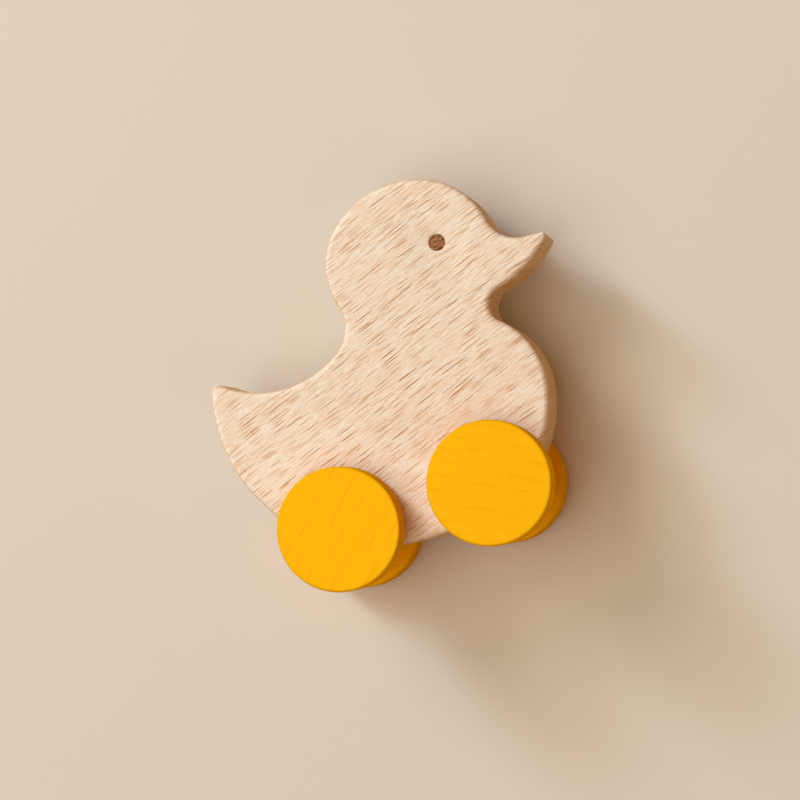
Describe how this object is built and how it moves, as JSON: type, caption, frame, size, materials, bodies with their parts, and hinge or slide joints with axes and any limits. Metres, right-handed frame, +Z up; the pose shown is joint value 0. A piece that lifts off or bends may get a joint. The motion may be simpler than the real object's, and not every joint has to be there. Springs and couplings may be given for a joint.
{
  "type": "push-along wooden duck",
  "caption": "Duck-shaped wooden push-along toy: a flat board body with rounded edges and dark eyes, on plain disc wheels glued to axles that turn freely in the body.",
  "frame": {"origin": "on the ground, under the middle of the toy's length and width", "axes": "+X towards the beak, +Y towards the duck's left side, +Z up"},
  "size_m": [0.1148, 0.0464, 0.116],
  "materials": {
    "beech": "sanded bare beech with fine ray flecks",
    "yellow_stained_wood": "satin yellow stain over fine-grained wood",
    "dark_wood": "matt brown wood"
  },
  "bodies": {
    "duck": {"duck_body": "beech", "eye_left": "dark_wood", "eye_right": "dark_wood"},
    "front_wheelset": {"front_axle": "beech", "front_left_wheel": "yellow_stained_wood", "front_right_wheel": "yellow_stained_wood"},
    "rear_wheelset": {"rear_axle": "beech", "rear_left_wheel": "yellow_stained_wood", "rear_right_wheel": "yellow_stained_wood"}
  },
  "joints": [
    {"name": "front_axle_spin", "type": "hinge", "parent": "duck", "child": "front_wheelset", "pos_m": [0.02028, 0, 0.01896], "axis": [0, 1, 0], "continuous": true},
    {"name": "rear_axle_spin", "type": "hinge", "parent": "duck", "child": "rear_wheelset", "pos_m": [-0.02772, 0, 0.01896], "axis": [0, 1, 0], "continuous": true}
  ]
}
